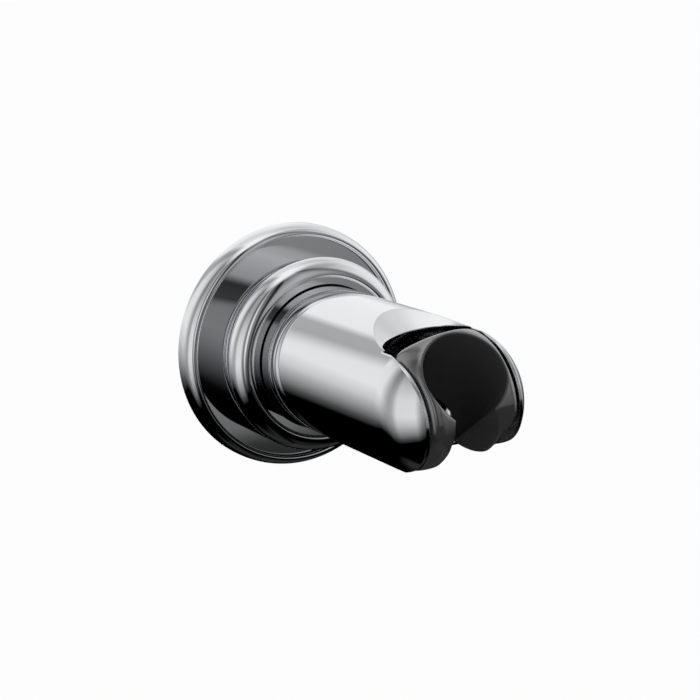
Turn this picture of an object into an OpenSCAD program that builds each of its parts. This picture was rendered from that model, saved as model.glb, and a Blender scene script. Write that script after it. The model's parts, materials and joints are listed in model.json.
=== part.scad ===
// Wall-mounted hand shower holder: stepped rosette, swivelling bull-nosed arm
// and a tilting C-shaped cradle held between the two cheeks of the arm.
// Millimetres, Z up, X to the right. The wall is the plane Y = 0 and the holder
// stands out of it along -Y. The origin is the middle of the rosette's back.

/* [Rosette] */
// Outer diameter of the rosette at the wall
rosette_d = 70; // [66:1:84]
// Height of the straight foot of the rim
rim_foot_h = 1; // [0.5:0.25:2]
// Height of the rim bead's crest over the wall
rim_h = 6.5; // [6:0.25:9]
// Width of the rim bead, from its crest to the outside
rim_bead_w = 2.5; // [2:0.25:4]
// Height of the flat floor between the rim and the raised tier
floor_h = 4.8; // [4:0.2:5.6]
// Diameter of the raised tier
tier_d = 54.8; // [53:0.2:58]
// Height of the raised tier's crest over the wall
tier_h = 22; // [21:0.5:28]
// Width of the tier bead, from its crest to the outside
tier_bead_w = 4.2; // [3:0.2:4.6]
// Height of the rounded part of the tier bead
tier_bead_h = 5.5; // [4:0.25:7]
// Width of the roll on the inside of each bead
bead_roll_w = 1; // [0.6:0.1:1.4]
// Depth of the flat ring round the arm, below the tier's crest
ring_sink = 1; // [0.5:0.1:1.5]
// Wall thickness of the rosette
rosette_wall = 2.6; // [2:0.1:3]

/* [Arm] */
// Diameter of the arm and of its ball-shaped end
arm_d = 40; // [38:0.5:41]
// Distance of the tilt axis from the wall
reach = 81; // [78:0.5:110]
// Width of the fork slot between the two cheeks
fork_w = 26.2; // [26:0.2:28]
// Radius to which the front of each cheek is trimmed about the tilt axis
cheek_r = 14.3; // [12:0.1:15]
// Angle at which that trimmed edge runs out behind the tilt axis
cheek_ease = 19; // [10:1:30]
// Half angle of the dished relief above and below the cradle
dish_angle = 60; // [50:1:65]
// Height of the dish's apex above the tilt axis
dish_rise = 8; // [7:0.25:9]
// Distance of the arm's hidden back end from the wall
arm_back = 12.6; // [12.4:0.2:14]
// Thickness of the web that the swivel bolt clamps
web_t = 6; // [4:0.5:8]
// Distance of the web's front face from the tilt axis
web_setback = 31; // [30:0.5:34]
// Diameter of the hollow between the web and the cradle
hollow_d = 26; // [22:0.5:26]

/* [Cradle] */
// Tilt of the bore from upright, as the holder is shown
cradle_tilt = 52; // [0:1:72]
// Diameter of the ball that the cradle is cut from
ball_d = 38.4; // [38:0.2:40]
// Outer diameter of the jaws about the bore
jaw_d = 33.2; // [30:0.2:34]
// Radius of the jaws' round nose about the tilt axis, in the middle
nose_r = 13.8; // [13:0.1:15]
// Radius of the jaws' round nose at the flat sides
nose_side_r = 15.9; // [15.2:0.1:17]
// Distance of the flat mouth from the tilt axis, along the bore
mouth_h = 15.4; // [14:0.2:16.5]
// Distance of the flat lower end from the tilt axis, along the bore
foot_h = 14; // [12:0.2:15]
// Distance of the flat back from the bore's axis
back_flat = 12.3; // [12:0.1:14]
// Diameter of the bore at its mouth
bore_d = 21.9; // [20:0.1:22.5]
// Diameter of the bore at its lower end
bore_end_d = 17.2; // [16:0.1:20]
// Width of the hose slot where it leaves the bore, level with the tilt axis
hose_slot_w = 10.8; // [9:0.2:12]
// Angle at which each wall of the hose slot opens towards the jaw tips
slot_flare = 14; // [0:1:25]
// Width of the chamfer round the mouth
mouth_chamfer = 0.7; // [0.3:0.1:1]
// Diameter of the trunnions
trunnion_d = 10; // [7:0.5:11]
// Length of the trunnions inside the cheeks
trunnion_l = 3; // [2:0.25:3.5]
// Wall of the bushes that the trunnions turn in
tilt_bush_wall = 1.4; // [1:0.1:2]
// Flange diameter of the bushes
tilt_flange_d = 17; // [15:0.5:20]
// Flange thickness of the bushes
tilt_flange_t = 1; // [0.8:0.1:1.4]

/* [Swivel] */
// Diameter of the post's journal
post_d = 18; // [16:0.5:19]
// Diameter of the post's flange
post_flange_d = 26; // [24:0.5:27]
// Thickness of the post's flange
post_flange_t = 3; // [2:0.25:3]
// Wall of the bush between the post and the arm
arm_bush_wall = 3; // [2:0.25:3.5]
// Diameter of the swivel bolt
bolt_d = 6; // [5:0.5:8]
// Length of the swivel bolt's thread inside the post
bolt_grip = 15; // [10:1:20]
// Diameter of the swivel bolt's head
bolt_head_d = 11; // [10:0.5:14]
// Height of the swivel bolt's head
bolt_head_h = 4; // [3:0.25:5]
// Width across flats of the swivel bolt's key socket
bolt_key = 5; // [4:0.5:6]
// Outer diameter of the washer and of the disc springs
washer_d = 18; // [15:0.5:20]
// Thickness of the washer
washer_t = 1; // [0.6:0.1:1.6]
// Thickness of one disc spring
spring_t = 0.8; // [0.5:0.1:1]
// Free height by which one disc spring is dished
spring_dish = 0.5; // [0.3:0.1:0.8]
// Section diameter of the seal ring behind the rosette's lip
seal_d = 2; // [1.6:0.1:2.4]

/* [Wall fixing] */
// Thickness of the wall plate's base
plate_t = 4; // [3:0.25:5]
// Height of the wall plate's rim over the wall
plate_rim_h = 12; // [11:0.25:12.2]
// Thickness of the wall plate's rim
plate_rim_t = 2.2; // [1.8:0.1:2.6]
// Height of the boss in the middle of the wall plate
boss_h = 8; // [7:0.25:8]
// Distance between the two wall screws
screw_spacing = 36; // [35:0.5:37]
// Diameter of the wall screw holes
screw_hole_d = 5; // [4:0.25:5.5]
// Diameter of the post's threaded shank
shank_d = 10; // [8:0.5:12]
// Width across flats of the nut behind the wall plate
nut_key = 17; // [15:0.5:19]
// Thickness of the nut behind the wall plate
nut_t = 4.5; // [3:0.25:5]
// Diameter of the rosette's set screw
set_screw_d = 4; // [3:0.5:5]
// Height of the set screw over the wall
set_screw_h = 9; // [8:0.25:9.5]
// Width across flats of the set screw's key socket
set_screw_key = 2; // [1.5:0.5:2.5]
// Radial width of the sealing gasket under the rim
gasket_w = 4; // [2:0.25:4]

/* [Clearances] */
// Gap between the arm and the rosette's hole
swivel_gap = 0.4; // [0.3:0.05:0.6]
// Gap between the cradle's ball and the hollow behind it
ball_gap = 0.7; // [0.5:0.05:1]
// Gap between the cradle's flat sides and the cheeks
side_gap = 0.3; // [0.3:0.05:0.5]
// Radial running clearance of a bearing
run_fit = 0.06; // [0.03:0.01:0.1]
// Clearance between pieces that are fixed to each other
seat_fit = 0.03; // [0.02:0.01:0.1]

/* [Hidden] */
$fn = 96;

arm_r = arm_d / 2;
rosette_r = rosette_d / 2;
tier_r = tier_d / 2;
tier_inner_r = tier_r - rosette_wall;
rosette_hole_r = arm_r + swivel_gap;
ring_h = tier_h - ring_sink;
lip_back = ring_h - rosette_wall;
rim_crest_r = rosette_r - rim_bead_w;
tier_crest_r = tier_r - tier_bead_w;
under_floor = floor_h - rosette_wall;
rim_inner_r = rim_crest_r - bead_roll_w;

plate_r = tier_inner_r - swivel_gap / 2;
plate_rim_inner_r = plate_r - plate_rim_t;
boss_r = post_flange_d / 2;

post_r = post_d / 2;
post_flange_front = boss_h + post_flange_t;
web_front = reach - web_setback;
web_back = web_front - web_t;
post_front = web_back - swivel_gap;
bush_bore_r = post_r + run_fit;
bush_outer_r = bush_bore_r + arm_bush_wall;
bush_flange_r = min(post_flange_d / 2, arm_r - 1);

washer_back = web_front + run_fit;
springs_back = washer_back + washer_t + seat_fit;
spring_h = spring_t + spring_dish;
spring_join = springs_back + spring_h + seat_fit;
head_back = spring_join + spring_h + seat_fit;
bolt_r = bolt_d / 2;
bolt_tip = post_front - bolt_grip;
washer_bore_r = bolt_r + run_fit;
tap_run = 3;

ball_r = ball_d / 2;
hollow_ball_r = max(ball_r + ball_gap, arm_r + ball_gap / 2);
fork_half = fork_w / 2;
cradle_half = fork_half - side_gap;
bore_r = bore_d / 2;
bore_end_r = bore_end_d / 2;
bore_taper = (bore_r - bore_end_r) / (mouth_h + foot_h);
bore_mid_r = bore_r - bore_taper * mouth_h;
trunnion_r = trunnion_d / 2;
tilt_bore_r = trunnion_r + run_fit;
tilt_bush_r = tilt_bore_r + tilt_bush_wall;
tilt_face = cradle_half + run_fit;
tilt_flange_r = tilt_flange_d / 2;
trunnion_tip = fork_half + trunnion_l;
socket_end = trunnion_tip + side_gap;
seal_r = seal_d / 2;
seal_w = lip_back - seal_r - side_gap;
set_screw_r = set_screw_d / 2;
far = 200;
bead_steps = 14;
roll_steps = 6;

// Points on an ellipse from one angle to another
function arc(centre, a, b, from, to, steps) = [
  for (i = [0 : steps])
    let (t = from + (to - from) * i / steps)
    [centre[0] + a * cos(t), centre[1] + b * sin(t)]
];

// Radius of the cradle's bore at a distance from the tilt axis along it
function bore_radius(along) = bore_mid_r + bore_taper * along;

// Turns a piece whose axis is Z so that the axis points out of the wall
module outward() {
  rotate([90, 0, 0]) children();
}

// Turned ring between two radii, from one height over the wall to another
module ring(inner_r, outer_r, from, to) {
  outward() rotate_extrude() translate([inner_r, from]) square([outer_r - inner_r, to - from]);
}

// Round bar along the wall axis
module bar(r, from, to) {
  outward() translate([0, 0, from]) cylinder(r = r, h = to - from);
}

// Six-sided bar along the wall axis, given its width across flats
module hex_bar(key, from, to) {
  outward() translate([0, 0, from]) cylinder(d = key / cos(30), h = to - from, $fn = 6);
}

// Places children with the tilt axis as their X axis and the bore as their Z axis
module at_cradle() {
  translate([0, -reach, 0]) rotate([cradle_tilt, 0, 0]) children();
}

// Round bar along X between two distances on one side of the tilt axis
module side_bar(side, r, from, to) {
  translate([0, -reach, 0]) rotate([0, side * 90, 0]) translate([0, 0, from]) cylinder(r = r, h = to - from);
}

// Wall side

module wall_plate() {
  color("slategray") difference() {
    union() {
      bar(plate_r, 0, plate_t);
      bar(boss_r, 0, boss_h);
      ring(plate_rim_inner_r, plate_r, 0, plate_rim_h);
    }
    bar(shank_d / 2 + seat_fit, -1, boss_h + 1);
    hex_bar(nut_key + 2 * seat_fit, -1, nut_t + 2 * seat_fit);
    for (side = [-1, 1])
      translate([side * screw_spacing / 2, 0, 0]) bar(screw_hole_d / 2, -1, plate_t + 1);
    set_screw_bore(set_screw_r + swivel_gap / 2, plate_r - plate_rim_t / 2, plate_r + 1);
  }
}

module post_nut() {
  color("gainsboro") difference() {
    hex_bar(nut_key, seat_fit, nut_t + seat_fit);
    bar(shank_d / 2 + seat_fit, -1, nut_t + 1);
  }
}

module pivot_post() {
  color("goldenrod") difference() {
    union() {
      bar(shank_d / 2, seat_fit, boss_h + 1);
      bar(post_flange_d / 2, boss_h + seat_fit, post_flange_front);
      bar(post_r, boss_h + 1, post_front);
    }
    bar(bolt_r + seat_fit, bolt_tip - tap_run, post_front + 1);
  }
}

// Rosette

module rosette_profile() {
  polygon(concat(
    [[rim_inner_r, 0], [rosette_r, 0]],
    arc([rim_crest_r, rim_foot_h], rim_bead_w, rim_h - rim_foot_h, 0, 90, bead_steps),
    arc([rim_crest_r, floor_h], bead_roll_w, rim_h - floor_h, 100, 180, roll_steps),
    [[tier_r, floor_h]],
    arc([tier_crest_r, tier_h - tier_bead_h], tier_bead_w, tier_bead_h, 0, 90, bead_steps),
    arc([tier_crest_r, ring_h], bead_roll_w, ring_sink, 100, 180, roll_steps),
    [[rosette_hole_r, ring_h], [rosette_hole_r, lip_back], [tier_inner_r, lip_back]],
    [[tier_inner_r, under_floor], [rim_inner_r, under_floor]]
  ));
}

// Round hole pointing straight down from the wall axis, between two radii
module set_screw_bore(r, from, to) {
  translate([0, -set_screw_h, -to]) cylinder(r = r, h = to - from);
}

module rosette() {
  color("silver") difference() {
    outward() rotate_extrude() rosette_profile();
    set_screw_bore(set_screw_r + seat_fit, tier_inner_r - 1, tier_r + 1);
  }
}

module rosette_gasket() {
  color("dimgray") ring(rim_inner_r - gasket_w - seat_fit, rim_inner_r - seat_fit, 0, under_floor - seat_fit);
}

module rosette_set_screw() {
  tip = plate_r - plate_rim_t / 2 + seat_fit;
  head = tier_r - swivel_gap;
  color("gainsboro") difference() {
    set_screw_bore(set_screw_r, tip, head);
    translate([0, -set_screw_h, -head - 1])
      cylinder(d = set_screw_key / cos(30), h = 1 + (head - tip) / 2, $fn = 6);
  }
}

// Arm

module dish(side) {
  translate([0, -reach, side * dish_rise])
    rotate([90 - side * 90, 0, 0])
      cylinder(r1 = 0, r2 = arm_d * tan(dish_angle), h = arm_d);
}

// Space between the cheeks: a ball-shaped hollow, open to the front
module fork_space() {
  intersection() {
    union() {
      translate([0, -reach, 0]) sphere(r = hollow_ball_r);
      translate([-far / 2, -reach - far, -far / 2]) cube([far, far, far]);
    }
    translate([-fork_half, -reach - far / 2, -far / 2]) cube([fork_w, far, far]);
  }
}

// Straight run of the cheeks' trimmed edge behind its round part, above and below
module cheek_run() {
  run = 3 * arm_d;
  near = [-reach - cheek_r * sin(cheek_ease), cheek_r * cos(cheek_ease)];
  end = [near[0] + run * cos(cheek_ease), near[1] + run * sin(cheek_ease)];
  translate([-far / 2, 0, 0]) rotate([90, 0, 90]) linear_extrude(far)
    polygon([near, end, [end[0], -end[1]], [near[0], -near[1]]]);
}

// Everything in front of the tilt axis that lies outside the cheeks' trimmed edge
module cheek_trim() {
  difference() {
    translate([-far / 2, -reach - far, -far / 2]) cube([far, far, far]);
    side_bar(1, cheek_r, -far, far);
    cheek_run();
  }
}

module arm() {
  color("silver") difference() {
    union() {
      bar(arm_r, arm_back, reach);
      translate([0, -reach, 0]) sphere(r = arm_r);
    }
    fork_space();
    cheek_trim();
    for (side = [-1, 1]) {
      dish(side);
      side_bar(side, tilt_bush_r + seat_fit, fork_half - 1, socket_end + seat_fit);
      side_bar(side, tilt_flange_r + seat_fit, fork_half - 1, tilt_face + tilt_flange_t + seat_fit);
    }
    bar(hollow_d / 2, web_front, reach);
    bar(bolt_r + swivel_gap, web_back - 1, web_front + 1);
    bar(bush_outer_r + seat_fit, arm_back - 1, web_back);
    outward() translate([0, 0, seal_w]) rotate_extrude() translate([arm_r, 0]) circle(r = seal_r + seat_fit);
  }
}

module arm_bush() {
  flange_back = post_flange_front + run_fit;
  flange_front = arm_back - seat_fit;
  color("ivory") difference() {
    union() {
      bar(bush_outer_r, flange_back, post_front);
      bar(bush_flange_r, flange_back, flange_front);
    }
    bar(bush_bore_r, 0, reach);
  }
}

module arm_seal() {
  color("black") outward() translate([0, 0, seal_w]) rotate_extrude() translate([arm_r, 0]) circle(r = seal_r);
}

// Swivel clamp

module web_washer() {
  color("gainsboro") ring(washer_bore_r, washer_d / 2, washer_back, washer_back + washer_t);
}

// One dished spring: its outer edge is nearer the wall where flip is false
module disc_spring(back, flip) {
  outer = flip ? spring_dish : 0;
  inner = flip ? 0 : spring_dish;
  outward() translate([0, 0, back]) rotate_extrude() polygon([
    [washer_bore_r, inner], [washer_d / 2, outer],
    [washer_d / 2, outer + spring_t], [washer_bore_r, inner + spring_t]
  ]);
}

module disc_spring_inner() {
  color("darkgray") disc_spring(springs_back, false);
}

module disc_spring_outer() {
  color("darkgray") disc_spring(spring_join, true);
}

module swivel_bolt() {
  color("gainsboro") difference() {
    union() {
      bar(bolt_r, bolt_tip, head_back + 1);
      bar(bolt_head_d / 2, head_back, head_back + bolt_head_h);
    }
    hex_bar(bolt_key, head_back + bolt_head_h / 2, head_back + bolt_head_h + 1);
  }
}

// Tilting cradle

module tilt_bush(side) {
  color("ivory") difference() {
    union() {
      side_bar(side, tilt_bush_r, tilt_face, socket_end);
      side_bar(side, tilt_flange_r, tilt_face, tilt_face + tilt_flange_t);
    }
    side_bar(side, tilt_bore_r, 0, socket_end + 1);
  }
}

module tilt_bush_left() {
  tilt_bush(-1);
}

module tilt_bush_right() {
  tilt_bush(1);
}

// Outline of the hose slot: walls that leave the bore and open towards the jaw tips
module hose_slot_outline() {
  start = sqrt(bore_mid_r * bore_mid_r - hose_slot_w * hose_slot_w / 4);
  run_out = 1.5 * jaw_d;
  root_half = hose_slot_w / 2 - start * tan(slot_flare);
  out_half = hose_slot_w / 2 + (run_out - start) * tan(slot_flare);
  polygon([[-root_half, 0], [-out_half, -run_out], [out_half, -run_out], [root_half, 0]]);
}

module hose_slot() {
  linear_extrude(far, center = true) hose_slot_outline();
}

module cradle_blank() {
  intersection() {
    sphere(r = ball_r);
    translate([0, 0, -foot_h]) cylinder(d = jaw_d, h = foot_h + mouth_h);
    translate([-cradle_half, -far / 2, -far / 2]) cube([2 * cradle_half, far / 2 + back_flat, far]);
    union() {
      for (side = [0, 1])
        mirror([side, 0, 0]) rotate([0, 90, 0])
          cylinder(r1 = nose_r, r2 = 2 * nose_side_r - nose_r, h = 2 * cradle_half);
      translate([-far / 2, 0, -far / 2]) cube(far);
    }
  }
}

module cradle() {
  color("dimgray") union() {
    at_cradle() difference() {
      cradle_blank();
      translate([0, 0, -mouth_h])
        cylinder(r1 = bore_radius(-mouth_h), r2 = bore_r, h = 2 * mouth_h);
      translate([0, 0, mouth_h - mouth_chamfer])
        cylinder(r1 = bore_r, r2 = bore_r + 2 * mouth_chamfer, h = 2 * mouth_chamfer);
      hose_slot();
    }
    for (side = [-1, 1])
      side_bar(side, trunnion_r, cradle_half - 1, trunnion_tip);
  }
}

wall_plate();
post_nut();
pivot_post();
rosette();
rosette_gasket();
rosette_set_screw();
arm();
arm_bush();
arm_seal();
web_washer();
disc_spring_inner();
disc_spring_outer();
swivel_bolt();
tilt_bush_left();
tilt_bush_right();
cradle();
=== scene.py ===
"""Looks of a wall-mounted hand shower holder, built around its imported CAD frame."""

import json
import math

import bmesh
import bpy
from mathutils import Matrix, Vector


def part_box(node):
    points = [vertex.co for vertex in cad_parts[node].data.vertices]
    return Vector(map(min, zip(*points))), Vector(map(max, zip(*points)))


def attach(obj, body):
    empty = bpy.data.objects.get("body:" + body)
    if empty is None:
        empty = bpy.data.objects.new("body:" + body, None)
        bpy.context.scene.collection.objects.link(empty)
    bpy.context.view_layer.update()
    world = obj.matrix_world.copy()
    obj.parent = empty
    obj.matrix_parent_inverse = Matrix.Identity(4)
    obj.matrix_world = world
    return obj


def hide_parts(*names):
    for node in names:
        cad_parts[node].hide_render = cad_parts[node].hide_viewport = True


bl_info = {
    "name": "Hand shower holder",
    "version": (1, 0, 0),
    "blender": (4, 5, 0),
    "location": "View3D > Sidebar > Holder",
    "description": "Chrome rosette, swivelling arm and tilting cradle of a hand shower holder",
    "category": "Add Mesh",
}

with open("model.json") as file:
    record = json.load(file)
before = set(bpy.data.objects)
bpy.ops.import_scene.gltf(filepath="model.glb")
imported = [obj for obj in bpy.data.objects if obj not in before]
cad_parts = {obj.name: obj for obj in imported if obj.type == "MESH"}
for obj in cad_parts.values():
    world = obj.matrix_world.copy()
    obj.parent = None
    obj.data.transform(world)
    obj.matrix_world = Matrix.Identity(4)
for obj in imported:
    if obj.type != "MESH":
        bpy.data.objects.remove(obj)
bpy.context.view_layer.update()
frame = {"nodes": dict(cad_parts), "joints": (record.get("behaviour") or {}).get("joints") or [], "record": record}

MM = 0.001

# Distances under which points count as one, and at which a point lies on a face
MERGE = 1e-6
MERGE_EXACT = 1e-7
TOUCH = 5e-6


def joint_place(name):
    """Point on a joint's axis, in the frame."""
    found = next(j for j in frame["joints"] if j["name"] == name)
    return Vector(found["pos_m"])


def half_width(node):
    """Half of a node's width along X, which is the radius of a turned piece."""
    low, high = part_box(node)
    return (high.x - low.x) / 2


def height_over_wall(node):
    """Largest distance of a node from the wall."""
    low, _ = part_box(node)
    return -low.y


TILT_AXIS = joint_place("cradle_tilt")
ARM_RADIUS = half_width("arm")
ROSETTE_RADIUS = half_width("rosette")
ROSETTE_HEIGHT = height_over_wall("rosette")


# Node building


class Value:
    """A node's output socket that can be used in sums."""

    def __init__(self, maker, socket):
        self.maker = maker
        self.socket = socket

    def math(self, operation, *others):
        return self.maker.node("ShaderNodeMath", {"operation": operation}, (self, *others))

    def reflected(self, operation, other):
        return self.maker.node("ShaderNodeMath", {"operation": operation}, (other, self))

    def __add__(self, other):
        return self.math("ADD", other)

    def __sub__(self, other):
        return self.math("SUBTRACT", other)

    def __rsub__(self, other):
        return self.reflected("SUBTRACT", other)

    def __mul__(self, other):
        return self.math("MULTIPLY", other)

    def __truediv__(self, other):
        return self.math("DIVIDE", other)

    def __rtruediv__(self, other):
        return self.reflected("DIVIDE", other)

    def __neg__(self):
        return self.math("MULTIPLY", -1.0)

    def __abs__(self):
        return self.math("ABSOLUTE")

    def root(self):
        return self.math("SQRT")

    def least(self, other):
        return self.math("MINIMUM", other)

    def most(self, other):
        return self.math("MAXIMUM", other)

    def soft_most(self, other, blend):
        return self.math("SMOOTH_MAX", other, blend)


class Maker:
    """Adds nodes to one node tree."""

    def __init__(self, tree):
        self.tree = tree

    def node(self, kind, settings=None, inputs=(), out=0):
        """A new node: its settings first, then its sockets by place or by name."""
        made = self.tree.nodes.new(kind)
        for name, setting in (settings or {}).items():
            setattr(made, name, setting)
        pairs = inputs.items() if isinstance(inputs, dict) else enumerate(inputs)
        for place, given in pairs:
            self.feed(made.inputs[place], given)
        return Value(self, made.outputs[out]) if made.outputs else made

    def split(self, vector):
        """The three parts of a vector."""
        made = self.tree.nodes.new("ShaderNodeSeparateXYZ")
        self.feed(made.inputs[0], vector)
        return [Value(self, part) for part in made.outputs]

    def feed(self, socket, given):
        """Links a value to a socket, or sets the socket."""
        if isinstance(given, Value):
            self.tree.links.new(given.socket, socket)
        else:
            socket.default_value = given


# Finishes

# Scale of the noise in the polish and in the plastic's grain
POLISH_SCALE = 60
GRAIN_SCALE = 220
BEVEL_SAMPLES = 8
CHROME_HAZE = 0.02
CRADLE_HAZE = 0.06
GLOSS_ROUGHNESS = 0.06
# Where the bore's dull finish and its painted shade end outside the bore's wall, and over what distance they fade
BORE_DULL_AND_SHADE_EDGE = MM / 6
BORE_DULL_AND_SHADE_FADE = MM / 3

# Slot, name, colour, least roughness and haze
METALS = (
    ("brass", "turned_brass", (0.75, 0.55, 0.25), 0.22, 0.1),
    ("steel", "bright_steel", (0.6, 0.6, 0.61), 0.25, 0.1),
    ("spring_steel", "tempered_steel", (0.35, 0.35, 0.37), 0.3, 0.1),
    ("zinc_plate", "zinc_plating", (0.52, 0.54, 0.57), 0.32, 0.12),
)
PLASTICS = (
    ("acetal", "white_acetal", (0.8, 0.79, 0.74), 0.4, 0.1),
    ("gasket", "foam_rubber", (0.03, 0.03, 0.03), 0.75, 0.2),
    ("seal", "seal_rubber", (0.015, 0.015, 0.015), 0.45, 0.1),
)


def material(name):
    """An empty material: itself, its maker and its main shader."""
    made = bpy.data.materials.new(name)
    made.use_nodes = True
    made.node_tree.nodes.clear()
    maker = Maker(made.node_tree)
    shader = maker.tree.nodes.new("ShaderNodeBsdfPrincipled")
    maker.node("ShaderNodeOutputMaterial", None, {"Surface": Value(maker, shader.outputs[0])})
    return made, maker, shader


def matt(name, grey):
    """A grey without any shine: the material, its maker and its main shader."""
    made, maker, shader = material(name)
    shader.inputs["Base Color"].default_value = (grey, grey, grey, 1)
    shader.inputs["Roughness"].default_value = 1
    shader.inputs["Specular IOR Level"].default_value = 0
    return made, maker, shader


def object_noise(maker, scale):
    """Soft noise in the frame's own metres."""
    place = maker.node("ShaderNodeTexCoord", None, (), "Object")
    return maker.node("ShaderNodeTexNoise", None, {"Vector": place, "Scale": scale})


def polished_metal(name, colour, roughness, haze, edge=0):
    """Bright metal with a faint uneven polish, and edges that can look rounded."""
    made, maker, shader = material(name)
    if edge:
        rounded = maker.node("ShaderNodeBevel", {"samples": BEVEL_SAMPLES}, {"Radius": edge})
        maker.feed(shader.inputs["Normal"], rounded)
    shader.inputs["Base Color"].default_value = (*colour, 1)
    shader.inputs["Metallic"].default_value = 1
    maker.feed(shader.inputs["Roughness"], object_noise(maker, POLISH_SCALE) * haze + roughness)
    return made


def moulded_plastic(name, colour, roughness, haze):
    """Plastic with the faint grain of its mould."""
    made, maker, shader = material(name)
    shader.inputs["Base Color"].default_value = (*colour, 1)
    maker.feed(shader.inputs["Roughness"], object_noise(maker, GRAIN_SCALE) * haze + roughness)
    return made


def cradle_plastic(look, size):
    """The cradle's plastic: glossy outside, dull in the bore, where its darker colour is painted shade."""
    made, maker, shader = material("black_plastic")
    place = maker.split(maker.node("ShaderNodeTexCoord", None, (), "Object"))
    bore = CradlePoint(place, size, math.sin(size.tilt), math.cos(size.tilt)).bore
    outside = ((bore - BORE_DULL_AND_SHADE_EDGE) / BORE_DULL_AND_SHADE_FADE).most(0).least(1)
    # Painted shade: inside the bore the colour turns to the darker bore colour, which stands in for the shade in
    # that recess.
    colours = {0: outside, 6: (*look.bore, 1), 7: (*look.cradle, 1)}
    colour = maker.node("ShaderNodeMix", {"data_type": "RGBA"}, colours, 2)
    maker.feed(shader.inputs["Base Color"], colour)
    maker.feed(shader.inputs["Coat Weight"], outside * look.cradle_gloss)
    shader.inputs["Coat Roughness"].default_value = GLOSS_ROUGHNESS
    shader.inputs["Coat IOR"].default_value = look.cradle_index
    dull = (1 - outside) * (look.bore_roughness - look.cradle_roughness)
    grain = object_noise(maker, GRAIN_SCALE) * CRADLE_HAZE
    maker.feed(shader.inputs["Roughness"], grain + dull + look.cradle_roughness)
    return made


class FinishProps(bpy.types.PropertyGroup):
    """Colours and polish of the holder."""

    chrome: bpy.props.FloatVectorProperty(
        name="Chrome",
        description="Colour of the plating",
        subtype="COLOR",
        size=3,
        default=(0.86, 0.87, 0.885),
    )
    chrome_roughness: bpy.props.FloatProperty(
        name="Chrome roughness",
        description="Smallest roughness of the plating",
        default=0.02,
        min=0,
        max=1,
    )
    chrome_edge: bpy.props.FloatProperty(
        name="Chrome edges",
        description="Rounding of the plated edges",
        unit="LENGTH",
        default=0.5 * MM,
    )
    cradle: bpy.props.FloatVectorProperty(
        name="Cradle",
        description="Colour of the cradle's plastic",
        subtype="COLOR",
        size=3,
        default=(0.03, 0.03, 0.0308),
    )
    # Painted shade: this colour is darker than the cradle's to stand in for the shade inside the bore.
    bore: bpy.props.FloatVectorProperty(
        name="Bore",
        description="Colour of the bore's plastic",
        subtype="COLOR",
        size=3,
        default=(0.024, 0.024, 0.0245),
    )
    bore_roughness: bpy.props.FloatProperty(
        name="Bore roughness",
        description="Smallest roughness of the bore",
        default=0.6,
        min=0,
        max=1,
    )
    cradle_index: bpy.props.FloatProperty(
        name="Gloss index",
        description="Refractive index of the cradle's gloss",
        default=2.5,
        min=1,
        max=3,
    )
    cradle_gloss: bpy.props.FloatProperty(
        name="Cradle gloss",
        description="Strength of the cradle's gloss",
        subtype="FACTOR",
        default=1,
        min=0,
        max=1,
    )
    cradle_roughness: bpy.props.FloatProperty(
        name="Cradle roughness",
        description="Smallest roughness of the cradle",
        default=0.22,
        min=0,
        max=1,
    )


class RosetteProps(bpy.types.PropertyGroup):
    """Sizes of the rosette's profile."""

    rim_foot: bpy.props.FloatProperty(
        name="Rim foot",
        description="Height of the rim's straight foot",
        unit="LENGTH",
        default=1 * MM,
    )
    rim_height: bpy.props.FloatProperty(
        name="Rim height", description="Height of the rim's crest", unit="LENGTH", default=6.5 * MM
    )
    rim_bead: bpy.props.FloatProperty(
        name="Rim bead", description="Width of the rim's bead", unit="LENGTH", default=2.5 * MM
    )
    floor_height: bpy.props.FloatProperty(
        name="Floor", description="Height of the flat floor", unit="LENGTH", default=4.8 * MM
    )
    tier_radius: bpy.props.FloatProperty(
        name="Tier radius",
        description="Radius of the raised tier",
        unit="LENGTH",
        default=27.4 * MM,
    )
    tier_bead: bpy.props.FloatProperty(
        name="Tier bead", description="Width of the tier's bead", unit="LENGTH", default=4.2 * MM
    )
    tier_round: bpy.props.FloatProperty(
        name="Tier round",
        description="Height of the tier's rounded part",
        unit="LENGTH",
        default=5.5 * MM,
    )
    roll: bpy.props.FloatProperty(
        name="Roll", description="Width of the roll inside each bead", unit="LENGTH", default=1 * MM
    )
    ring_sink: bpy.props.FloatProperty(
        name="Ring sink",
        description="Depth of the ring round the arm",
        unit="LENGTH",
        default=1 * MM,
    )
    wall: bpy.props.FloatProperty(
        name="Wall", description="Wall thickness of the rosette", unit="LENGTH", default=2.6 * MM
    )
    hole_gap: bpy.props.FloatProperty(
        name="Hole gap",
        description="Gap between the arm and its hole",
        unit="LENGTH",
        default=0.4 * MM,
    )
    steps: bpy.props.IntProperty(
        name="Steps", description="Steps round the rosette", default=256, min=32
    )


class ArmProps(bpy.types.PropertyGroup):
    """Sizes of the arm's visible faces."""

    hollow_radius: bpy.props.FloatProperty(
        name="Hollow",
        description="Radius of the hollow behind the cradle",
        unit="LENGTH",
        default=20.35 * MM,
    )
    cheek_radius: bpy.props.FloatProperty(
        name="Cheeks",
        description="Radius of the cheeks' trimmed edge",
        unit="LENGTH",
        default=14.3 * MM,
    )
    dish_angle: bpy.props.FloatProperty(
        name="Dish angle",
        description="Half angle of the dish",
        subtype="ANGLE",
        default=math.radians(60),
    )
    dish_rise: bpy.props.FloatProperty(
        name="Dish rise", description="Height of the dish's apex", unit="LENGTH", default=8 * MM
    )


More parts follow.
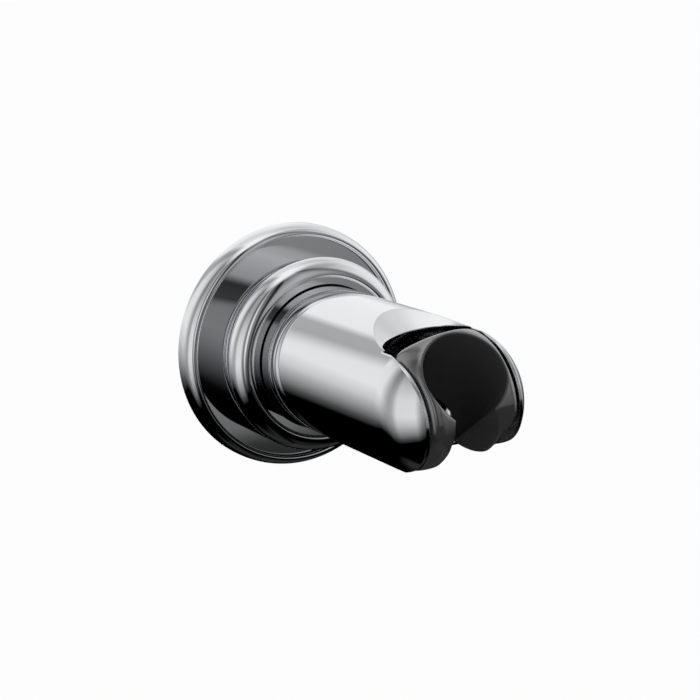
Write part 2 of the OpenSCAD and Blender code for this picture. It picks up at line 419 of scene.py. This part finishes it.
class CradleProps(bpy.types.PropertyGroup):
    """Sizes of the tilting cradle."""

    tilt: bpy.props.FloatProperty(
        name="Tilt",
        description="Tilt of the bore from upright",
        subtype="ANGLE",
        default=math.radians(52),
    )
    ball: bpy.props.FloatProperty(
        name="Ball", description="Radius of the cradle's ball", unit="LENGTH", default=19.2 * MM
    )
    half: bpy.props.FloatProperty(
        name="Half width",
        description="Half width between the flat sides",
        unit="LENGTH",
        default=12.8 * MM,
    )
    jaw: bpy.props.FloatProperty(
        name="Jaw",
        description="Outer radius of the jaws about the bore",
        unit="LENGTH",
        default=16.6 * MM,
    )
    nose: bpy.props.FloatProperty(
        name="Nose",
        description="Radius of the jaws' round nose in the middle",
        unit="LENGTH",
        default=13.8 * MM,
    )
    nose_side: bpy.props.FloatProperty(
        name="Nose sides",
        description="Radius of the jaws' nose at the flat sides",
        unit="LENGTH",
        default=15.9 * MM,
    )
    mouth: bpy.props.FloatProperty(
        name="Mouth",
        description="Distance of the mouth from the tilt axis",
        unit="LENGTH",
        default=15.4 * MM,
    )
    foot: bpy.props.FloatProperty(
        name="Foot",
        description="Distance of the lower end from the tilt axis",
        unit="LENGTH",
        default=14 * MM,
    )
    back: bpy.props.FloatProperty(
        name="Back",
        description="Distance of the flat back from the bore's axis",
        unit="LENGTH",
        default=12.3 * MM,
    )
    bore: bpy.props.FloatProperty(
        name="Bore",
        description="Radius of the bore at its mouth",
        unit="LENGTH",
        default=10.95 * MM,
    )
    bore_end: bpy.props.FloatProperty(
        name="Bore end",
        description="Radius of the bore at its lower end",
        unit="LENGTH",
        default=8.6 * MM,
    )
    slot_half: bpy.props.FloatProperty(
        name="Slot half",
        description="Half width of the hose slot at the bore",
        unit="LENGTH",
        default=5.4 * MM,
    )
    slot_flare: bpy.props.FloatProperty(
        name="Slot flare",
        description="Angle at which each slot wall opens",
        subtype="ANGLE",
        default=math.radians(14),
    )
    trunnion: bpy.props.FloatProperty(
        name="Trunnion", description="Radius of the trunnions", unit="LENGTH", default=5 * MM
    )
    shoulder: bpy.props.FloatProperty(
        name="Shoulders",
        description="Softness of the edges beside the fork",
        unit="LENGTH",
        default=3.2 * MM,
    )
    edge: bpy.props.FloatProperty(
        name="Edges", description="Softness of the outer edges", unit="LENGTH", default=1.3 * MM
    )
    lip: bpy.props.FloatProperty(
        name="Lips", description="Softness of the bore's edges", unit="LENGTH", default=0.7 * MM
    )
    grain: bpy.props.FloatProperty(
        name="Grain",
        description="Size of one step of the cradle's mesh",
        unit="LENGTH",
        default=0.25 * MM,
    )


class StageProps(bpy.types.PropertyGroup):
    """Camera and light."""

    lens: bpy.props.FloatProperty(
        name="Lens",
        description="Focal length",
        unit="CAMERA",
        subtype="DISTANCE_CAMERA",
        default=87.8,
    )
    eye: bpy.props.FloatVectorProperty(
        name="Eye",
        description="Place of the camera",
        unit="LENGTH",
        size=3,
        default=(-0.20808, -0.42546, 0.13007),
    )
    floor_size: bpy.props.FloatProperty(
        name="Floor size", description="Half width of the floor", unit="LENGTH", default=20
    )
    floor_depth: bpy.props.FloatProperty(
        name="Floor depth", description="Depth of the floor under the arm", unit="LENGTH", default=1
    )
    tent_radius: bpy.props.FloatProperty(
        name="Tent radius",
        description="Radius of the tent round the holder",
        unit="LENGTH",
        default=4,
    )


# Meshes

# Edges that bend more than this stay sharp on a turned piece
CREASE = math.radians(30)
# Steps of the profile along each bead and roll, and the angle at which a roll starts
RIM_STEPS = 24
TIER_STEPS = 28
ROLL_STEPS = 12
ROLL_START = 95
# Rounds of smoothing over the cradle's mesh, and their strength
RELAX_ROUNDS = 4
RELAX_FACTOR = 0.5
# How far the trunnions reach into the cradle's flat sides
TRUNNION_ROOT = 2 * MM


def ellipse(centre, across, up, first, last, steps):
    """Points on an ellipse between two angles in degrees."""
    angles = [math.radians(first + (last - first) * i / steps) for i in range(steps + 1)]
    return [(centre[0] + across * math.cos(a), centre[1] + up * math.sin(a)) for a in angles]


def hand_out(maker, shape, finish):
    """Ends a geometry tree: the shape made real, with its finish."""
    real = maker.node("GeometryNodeRealizeInstances", None, {"Geometry": shape})
    look = {"Geometry": real, "Material": finish}
    dressed = maker.node("GeometryNodeSetMaterial", None, look)
    maker.feed(maker.tree.nodes.new("NodeGroupOutput").inputs[0], dressed)


def lathe_tree(name, finish):
    """Geometry nodes that sweep a closed profile round the wall axis."""
    tree = bpy.data.node_groups.new(name, "GeometryNodeTree")
    tree.interface.new_socket("Geometry", in_out="INPUT", socket_type="NodeSocketGeometry")
    steps = tree.interface.new_socket("Steps", in_out="INPUT", socket_type="NodeSocketInt")
    tree.interface.new_socket("Geometry", in_out="OUTPUT", socket_type="NodeSocketGeometry")
    maker = Maker(tree)
    entry = tree.nodes.new("NodeGroupInput")
    given = Value(maker, entry.outputs["Geometry"])
    count = Value(maker, entry.outputs["Steps"])
    profile = maker.node("GeometryNodeMeshToCurve", None, {"Mesh": given})
    ring = {"Resolution": count, "Radius": 1.0}
    circle = maker.node("GeometryNodeCurvePrimitiveCircle", None, ring)
    sweep = {"Curve": circle, "Profile Curve": profile}
    hand_out(maker, maker.node("GeometryNodeCurveToMesh", None, sweep), finish)
    return tree, steps.identifier


def link(name, mesh):
    """A new object in the scene."""
    made = bpy.data.objects.new(name, mesh)
    bpy.context.scene.collection.objects.link(made)
    return made


def evaluated_mesh(piece):
    """The piece's mesh with its modifiers, which are then removed."""
    bpy.context.view_layer.update()
    graph = bpy.context.evaluated_depsgraph_get()
    mesh = bpy.data.meshes.new_from_object(piece.evaluated_get(graph), depsgraph=graph)
    piece.modifiers.clear()
    return mesh


def outward_faces(mesh):
    """Merges doubled points and turns the faces outwards."""
    work = bmesh.new()
    work.from_mesh(mesh)
    bmesh.ops.remove_doubles(work, verts=work.verts, dist=MERGE)
    bmesh.ops.recalc_face_normals(work, faces=work.faces)
    work.to_mesh(mesh)
    work.free()


def relax(mesh):
    """Evens out the small steps of a mesh."""
    work = bmesh.new()
    work.from_mesh(mesh)
    axes = {"use_axis_x": True, "use_axis_y": True, "use_axis_z": True}
    for _ in range(RELAX_ROUNDS):
        bmesh.ops.smooth_vert(work, verts=work.verts, factor=RELAX_FACTOR, **axes)
    work.to_mesh(mesh)
    work.free()


def turned(name, points, steps, finish):
    """A piece turned round the wall axis from (radius, height over the wall) points."""
    profile = bpy.data.meshes.new(name)
    count = len(points)
    # The lathe sweeps along a circle of radius 1, so the profile starts from there
    corners = [(radius - 1.0, height, 0.0) for radius, height in points]
    profile.from_pydata(corners, [(i, (i + 1) % count) for i in range(count)], [])
    piece = link(name, profile)
    tree, steps_input = lathe_tree(name + "_lathe", finish)
    lathe = piece.modifiers.new("Lathe", "NODES")
    lathe.node_group = tree
    lathe[steps_input] = steps
    mesh = evaluated_mesh(piece)
    piece.data = mesh
    mesh.transform(Matrix.Rotation(math.radians(-90), 4, "X"))
    outward_faces(mesh)
    mesh.shade_smooth()
    mesh.set_sharp_from_angle(angle=CREASE)
    return piece


def rosette_profile(size):
    """Closed outline of the rosette's wall as (radius, height over the wall) points."""
    crest = ROSETTE_RADIUS - size.rim_bead
    rim_rise = size.rim_height - size.rim_foot
    rim_fall = size.rim_height - size.floor_height
    tier_crest = size.tier_radius - size.tier_bead
    tier_foot = ROSETTE_HEIGHT - size.tier_round
    ring = ROSETTE_HEIGHT - size.ring_sink
    inner = size.tier_radius - size.wall
    hole = ARM_RADIUS + size.hole_gap
    under = size.floor_height - size.wall
    foot_inner = crest - size.roll
    bead, roll = (0, 90), (ROLL_START, 180)
    points = [(foot_inner, 0.0), (ROSETTE_RADIUS, 0.0)]
    points += ellipse((crest, size.rim_foot), size.rim_bead, rim_rise, *bead, RIM_STEPS)
    points += ellipse((crest, size.floor_height), size.roll, rim_fall, *roll, ROLL_STEPS)
    points += [(size.tier_radius, size.floor_height)]
    points += ellipse((tier_crest, tier_foot), size.tier_bead, size.tier_round, *bead, TIER_STEPS)
    points += ellipse((tier_crest, ring), size.roll, size.ring_sink, *roll, ROLL_STEPS)
    points += [(hole, ring), (hole, ring - size.wall), (inner, ring - size.wall), (inner, under)]
    points += [(foot_inner, under)]
    return points


class CradlePoint:
    """A point as the cradle sees it: along the bore, forward in the slot, outside the bore."""

    def __init__(self, place, size, lean_out, lean_up):
        x, y, z = place
        self.x = x
        self.out = TILT_AXIS.y - y
        self.up = z - TILT_AXIS.z
        self.along = self.out * lean_out + self.up * lean_up
        self.forward = self.out * lean_up - self.up * lean_out
        self.from_bore = (x * x + self.forward * self.forward).root()
        taper = (size.bore - size.bore_end) / (size.mouth + size.foot)
        self.middle = size.bore - taper * size.mouth
        self.bore = self.from_bore - (self.along * taper + self.middle)


def cradle_field(maker, size):
    """Signed distance to the cradle's surface at each point of space, in metres."""
    place = maker.split(maker.node("GeometryNodeInputPosition"))
    point = CradlePoint(place, size, size.tilt.math("SINE"), size.tilt.math("COSINE"))
    x, out, up, along, forward = point.x, point.out, point.up, point.along, point.forward
    side = abs(x)
    from_centre = (x * x + out * out + up * up).root()
    nose = (size.nose_side - size.nose) / size.half * side + size.nose
    from_axis = (forward * forward + along * along).root()
    shape = (from_centre - size.ball).soft_most(side - size.half, size.shoulder)
    for wall in (
        point.from_bore - size.jaw,
        (from_axis - nose).least(forward),
        along - size.mouth,
        -along - size.foot,
        -forward - size.back,
    ):
        shape = shape.soft_most(wall, size.edge)
    slot_start = (point.middle * point.middle - size.slot_half * size.slot_half).root()
    wall_run = (forward - slot_start) * size.slot_flare.math("SINE")
    slot_wall = (side - size.slot_half) * size.slot_flare.math("COSINE") - wall_run
    opening = point.bore.least(slot_wall.most(-forward))
    shape = shape.soft_most(-opening, size.lip)
    trunnion = (out * out + up * up).root() - size.trunnion
    reach = half_width("cradle")
    trunnion = trunnion.most(side - reach).most(size.half - TRUNNION_ROOT - side)
    return shape.least(trunnion)


class SizeInputs:
    """A piece's sizes as named inputs of its geometry nodes."""

    def __init__(self, maker, sizes):
        self.sizes = sizes
        self.sockets = {}
        for name in type(sizes).__annotations__:
            label = sizes.bl_rna.properties[name].name
            self.sockets[name] = maker.tree.interface.new_socket(
                label, in_out="INPUT", socket_type="NodeSocketFloat"
            )
        entry = maker.tree.nodes.new("NodeGroupInput")
        for name, socket in self.sockets.items():
            setattr(self, name, Value(maker, entry.outputs[socket.name]))

    def fill(self, modifier):
        """Sets the modifier's inputs to the piece's sizes."""
        for name, socket in self.sockets.items():
            modifier[socket.identifier] = getattr(self.sizes, name)


def cradle_tree(sizes, finish):
    """Geometry nodes that mesh the cradle's surface, and their inputs."""
    tree = bpy.data.node_groups.new("cradle_mould", "GeometryNodeTree")
    tree.interface.new_socket("Geometry", in_out="OUTPUT", socket_type="NodeSocketGeometry")
    maker = Maker(tree)
    size = SizeInputs(maker, sizes)
    density = 1.0 - cradle_field(maker, size) / MM
    low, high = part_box("cradle")
    margin = Vector((MM, MM, MM))
    counts = [(high[i] - low[i] + 2 * MM) / size.grain for i in range(3)]
    block = maker.node(
        "GeometryNodeVolumeCube",
        None,
        {
            "Density": density,
            "Min": low - margin,
            "Max": high + margin,
            "Resolution X": counts[0],
            "Resolution Y": counts[1],
            "Resolution Z": counts[2],
        },
    )
    surface = {"Volume": block, "Threshold": 1.0}
    hand_out(maker, maker.node("GeometryNodeVolumeToMesh", None, surface), finish)
    return tree, size


# True normals of the arm's curved faces


def arm_faces(size):
    """The arm's curved faces: a distance and an outward normal at a point for each."""
    slope = math.sin(size.dish_angle)
    cut = math.cos(size.dish_angle)

    def round_bar(p):
        return math.hypot(p.x, p.z) - ARM_RADIUS if p.y > TILT_AXIS.y - TOUCH else 1

    def nose(p):
        return (p - TILT_AXIS).length - ARM_RADIUS if p.y < TILT_AXIS.y + TOUCH else 1

    def hollow(p):
        return (p - TILT_AXIS).length - size.hollow_radius

    def cheek(p):
        away = math.hypot(p.y - TILT_AXIS.y, p.z)
        return away - size.cheek_radius if p.y < TILT_AXIS.y else 1

    def dish(way):
        def gap(p):
            rise = way * p.z - size.dish_rise
            return math.hypot(p.x, p.y - TILT_AXIS.y) * cut - rise * slope

        def normal(p):
            flat = Vector((p.x, p.y - TILT_AXIS.y, 0)).normalized()
            return flat * -cut + Vector((0, 0, way * slope))

        return gap, normal

    return [
        (round_bar, lambda p: Vector((p.x, 0, p.z)).normalized()),
        (nose, lambda p: (p - TILT_AXIS).normalized()),
        dish(1),
        dish(-1),
        (hollow, lambda p: (TILT_AXIS - p).normalized()),
        (cheek, lambda p: Vector((0, p.y - TILT_AXIS.y, p.z)).normalized()),
    ]


def true_normals(mesh, faces):
    """Shades each polygon that lies on a known face with that face's own normals."""
    points = [v.co.copy() for v in mesh.vertices]
    near = [[abs(gap(p)) < TOUCH for p in points] for gap, _ in faces]
    normals = [None] * len(mesh.loops)
    for polygon in mesh.polygons:
        ring = list(zip(polygon.loop_indices, polygon.vertices))
        found = next((i for i, on in enumerate(near) if all(on[v] for _, v in ring)), None)
        for loop, vertex in ring:
            if found is None:
                normals[loop] = polygon.normal.copy()
            else:
                normals[loop] = faces[found][1](points[vertex])
    mesh.shade_smooth()
    mesh.normals_split_custom_set(normals)


def copy_of_node(name, node):
    """A merged copy of a CAD node's mesh as a new piece."""
    mesh = frame["nodes"][node].data.copy()
    work = bmesh.new()
    work.from_mesh(mesh)
    bmesh.ops.remove_doubles(work, verts=work.verts, dist=MERGE_EXACT)
    work.to_mesh(mesh)
    work.free()
    return link(name, mesh)


def dress(node, finish):
    """Gives a CAD node its finish."""
    slots = frame["nodes"][node].data.materials
    slots.clear()
    slots.append(finish)


FINISHES = {}


class HOLDER_OT_finishes(bpy.types.Operator):
    """Make the finishes of all pieces"""

    bl_idname = "holder.finishes"
    bl_label = "Finishes"

    def execute(self, context):
        look = context.scene.holder_finish
        plating = (look.chrome, look.chrome_roughness, CHROME_HAZE)
        FINISHES["chrome"] = polished_metal("polished_chrome", *plating, look.chrome_edge)
        FINISHES["turned_chrome"] = polished_metal("turned_chrome", *plating)
        FINISHES["cradle_black"] = cradle_plastic(look, context.scene.holder_cradle)
        for slot, *finish in METALS:
            FINISHES[slot] = polished_metal(*finish)
        for slot, *finish in PLASTICS:
            FINISHES[slot] = moulded_plastic(*finish)
        for part in frame["record"]["subparts"]:
            dress(part["node"], FINISHES[part["material_slot"]])
        return {"FINISHED"}


class HOLDER_OT_rosette(bpy.types.Operator):
    """Turn the stepped rosette from its profile"""

    bl_idname = "holder.rosette"
    bl_label = "Rosette"

    def execute(self, context):
        size = context.scene.holder_rosette
        profile = rosette_profile(size)
        piece = turned("rosette_shell", profile, size.steps, FINISHES["turned_chrome"])
        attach(piece, "base")
        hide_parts("rosette")
        return {"FINISHED"}


class HOLDER_OT_arm(bpy.types.Operator):
    """Polish the arm: its own shape with true curved faces"""

    bl_idname = "holder.arm"
    bl_label = "Arm"

    def execute(self, context):
        piece = copy_of_node("arm_casting", "arm")
        true_normals(piece.data, arm_faces(context.scene.holder_arm))
        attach(piece, "arm")
        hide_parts("arm")
        return {"FINISHED"}


class HOLDER_OT_cradle(bpy.types.Operator):
    """Mould the C-shaped cradle with its soft edges"""

    bl_idname = "holder.cradle"
    bl_label = "Cradle"

    def execute(self, context):
        piece = link("cradle_jaws", bpy.data.meshes.new("cradle_jaws"))
        tree, inputs = cradle_tree(context.scene.holder_cradle, FINISHES["cradle_black"])
        mould = piece.modifiers.new("Mould", "NODES")
        mould.node_group = tree
        inputs.fill(mould)
        mesh = evaluated_mesh(piece)
        piece.data = mesh
        relax(mesh)
        mesh.shade_smooth()
        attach(piece, "cradle")
        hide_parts("cradle")
        return {"FINISHED"}


# Stage

# Across, up and back directions of the camera
VIEW_RIGHT = Vector((0.85896, -0.4976, -0.12072))
VIEW_UP = Vector((0.23821, 0.1797, 0.95413))
VIEW_BACK = Vector((-0.45323, -0.8484, 0.27293))
SENSOR_WIDTH = 36
CLIP_START = 0.01
FLOOR_GREY = 0.98
# Subdivisions of the tent's ball, and the share of the floor's depth at which the ball is cut flat
TENT_DETAIL = 5
TENT_DEPTH = 0.98

# Panels of the tent: azimuth from +X in degrees, brightness, drop of the lower edge in degrees
PANELS = (
    (20, 0.9, 0),
    (34, 0.78, 0),
    (48, 0.8, 0),
    (60, 0.97, 0),
    (90, 0.97, 0),
    (97, 0.47, 0),
    (108, 0.45, 0),
    (116, 0.88, 0),
    (136, 0.86, 0),
    (148, 0.5, 6),
    (155, 0.38, 14),
    (162, 0.45, 16),
    (170, 0.78, 16),
    (199, 0.8, 14),
    (208, 0.35, 11),
    (214, 0.22, 8),
    (219, 0.22, 6),
    (224, 0.9, 4),
    (231, 0.85, 3),
    (237, 0.24, 2),
    (250, 0.22, 2),
    (253, 0.05, 4),
    (264, 0.03, 4),
    (270, 0.34, 3),
    (291, 0.48, 0),
    (300, 0.36, 0),
    (309, 0.15, 4),
    (324, 0.8, 12),
    (350, 0.9, 10),
    (380, 0.9, 0),
)
# Largest drop that the ramp can hold
DROP_SPAN = 20
# Brightness of the panels by elevation in degrees
HEIGHTS = (
    (-90, 0.04),
    (-60, 0.03),
    (-50, 0.0),
    (-23, 0.0),
    (-18, 0.09),
    (-12, 0.3),
    (-6, 0.52),
    (0, 0.75),
    (10, 1.0),
    (32, 0.95),
    (46, 0.75),
    (60, 0.5),
    (90, 0.45),
)
# Bright card overhead, towards the wall: its reach in azimuth and in elevation
TOP_AROUND = ((20, 1), (95, 1), (112, 0), (345, 0), (380, 1))
TOP_HEIGHTS = (
    (-90, 0),
    (44, 0),
    (49, 0.06),
    (57, 0.25),
    (64, 0.37),
    (70, 0.49),
    (75, 0.55),
    (90, 0.55),
)
# Even white overhead, where the panels would meet in a point
OVERHEAD = ((-90, 0), (66, 0), (82, 1), (90, 1))
# Low grey card in front, towards the right: its reach in azimuth and in elevation
CARD_AROUND = ((20, 0), (258, 0), (264, 1), (308, 1), (314, 0), (380, 0))
CARD_HEIGHTS = ((-90, 0), (-18.8, 0), (-18.2, 0.13), (-10, 0.1), (-2, 0), (90, 0))


def ramp(maker, value, stops):
    """Grey level along a list of (place, grey) stops, for a value in the same unit."""
    first, last = stops[0][0], stops[-1][0]
    made = maker.tree.nodes.new("ShaderNodeValToRGB")
    elements = made.color_ramp.elements
    while len(elements) < len(stops):
        elements.new(1.0)
    for element, (place, grey) in zip(elements, stops):
        element.position = (place - first) / (last - first)
        element.color = (grey, grey, grey, 1)
    maker.feed(made.inputs[0], (value - first) / (last - first))
    return Value(maker, made.outputs[0])


def tent_cloth():
    """Black cloth, thin where the panels are bright, so that the white world shows through."""
    made, maker, shader = matt("tent_cloth", 0)
    x, y, z = maker.split(maker.node("ShaderNodeTexCoord", None, (), "Object"))
    # The azimuth runs from the first panel round to the last
    middle = PANELS[0][0] + 180
    turn = math.radians(middle)
    ahead = x * math.cos(turn) + y * math.sin(turn)
    aside = y * math.cos(turn) - x * math.sin(turn)
    azimuth = aside.math("ARCTAN2", ahead).math("DEGREES") + middle
    elevation = z.math("ARCTAN2", (x * x + y * y).root()).math("DEGREES")
    panels = ramp(maker, azimuth, [(around, grey) for around, grey, _ in PANELS])
    drops = ramp(maker, azimuth, [(around, down / DROP_SPAN) for around, _, down in PANELS])
    heights = ramp(maker, elevation + drops * DROP_SPAN, HEIGHTS)
    card = ramp(maker, azimuth, CARD_AROUND) * ramp(maker, elevation, CARD_HEIGHTS)
    top = ramp(maker, azimuth, TOP_AROUND) * ramp(maker, elevation, TOP_HEIGHTS)
    dark = 1 - (panels * heights + card + top)
    maker.feed(shader.inputs["Alpha"], dark * (1 - ramp(maker, elevation, OVERHEAD)))
    return made


def studio_tent(radius, depth):
    """A tent of cloth round the holder, flat over the floor, that only polished faces mirror."""
    mesh = bpy.data.meshes.new("tent")
    ball = bmesh.new()
    bmesh.ops.create_icosphere(ball, subdivisions=TENT_DETAIL, radius=1)
    cut = TENT_DEPTH * depth
    for vert in ball.verts:
        vert.co *= radius / max(1, -vert.co.z * radius / cut)
    ball.to_mesh(mesh)
    ball.free()
    mesh.materials.append(tent_cloth())
    tent = link("tent", mesh)
    tent.visible_camera = False
    tent.visible_diffuse = False
    tent.visible_transmission = False
    tent.visible_shadow = False


def studio_floor(size, depth):
    """A plain pale floor well under the holder."""
    mesh = bpy.data.meshes.new("floor")
    corners = [(x * size, y * size, -depth) for x, y in ((-1, -1), (1, -1), (1, 1), (-1, 1))]
    mesh.from_pydata(corners, [], [(0, 1, 2, 3)])
    mesh.materials.append(matt("pale_floor", FLOOR_GREY)[0])
    link("floor", mesh)


def white_world(scene):
    """A plain white world, which lights the holder and is its background."""
    world = bpy.data.worlds.new("studio")
    scene.world = world
    world.use_nodes = True
    world.node_tree.nodes.clear()
    maker = Maker(world.node_tree)
    white = maker.node("ShaderNodeBackground", None, {"Color": (1, 1, 1, 1), "Strength": 1})
    maker.node("ShaderNodeOutputWorld", None, {"Surface": white})


def photo_camera(scene, stage):
    """The camera at the photograph's angle."""
    lens = bpy.data.cameras.new("camera")
    lens.lens = stage.lens
    lens.sensor_width = SENSOR_WIDTH
    lens.clip_start = CLIP_START
    camera = bpy.data.objects.new("camera", lens)
    scene.collection.objects.link(camera)
    turn = Matrix((VIEW_RIGHT, VIEW_UP, VIEW_BACK)).transposed().to_4x4()
    camera.matrix_world = Matrix.Translation(stage.eye) @ turn
    scene.camera = camera


class HOLDER_OT_stage(bpy.types.Operator):
    """Set the camera, floor and studio light"""

    bl_idname = "holder.stage"
    bl_label = "Stage"

    def execute(self, context):
        scene = context.scene
        stage = scene.holder_stage
        scene.view_settings.view_transform = "Standard"
        photo_camera(scene, stage)
        white_world(scene)
        studio_floor(stage.floor_size, stage.floor_depth)
        studio_tent(stage.tent_radius, stage.floor_depth)
        return {"FINISHED"}


class HOLDER_PT_panel(bpy.types.Panel):
    """Lists the pieces of the holder"""

    bl_idname = "HOLDER_PT_panel"
    bl_label = "Hand shower holder"
    bl_space_type = "VIEW_3D"
    bl_region_type = "UI"
    bl_category = "Holder"

    def draw(self, context):
        for step in STEPS:
            self.layout.operator(step.bl_idname)


GROUPS = {
    "holder_finish": FinishProps,
    "holder_rosette": RosetteProps,
    "holder_arm": ArmProps,
    "holder_cradle": CradleProps,
    "holder_stage": StageProps,
}
STEPS = (HOLDER_OT_finishes, HOLDER_OT_rosette, HOLDER_OT_arm, HOLDER_OT_cradle, HOLDER_OT_stage)
CLASSES = (*GROUPS.values(), *STEPS, HOLDER_PT_panel)


def register():
    """Registers the classes and gives each scene the holder's properties."""
    for made in CLASSES:
        bpy.utils.register_class(made)
    for name, group in GROUPS.items():
        setattr(bpy.types.Scene, name, bpy.props.PointerProperty(type=group))


def unregister():
    """Takes back what register did."""
    for name in GROUPS:
        delattr(bpy.types.Scene, name)
    for made in reversed(CLASSES):
        bpy.utils.unregister_class(made)


def main():
    """Builds all groups in order."""
    register()
    bpy.ops.holder.finishes()
    bpy.ops.holder.rosette()
    bpy.ops.holder.arm()
    bpy.ops.holder.cradle()
    bpy.ops.holder.stage()


if __name__ == "__main__":
    main()
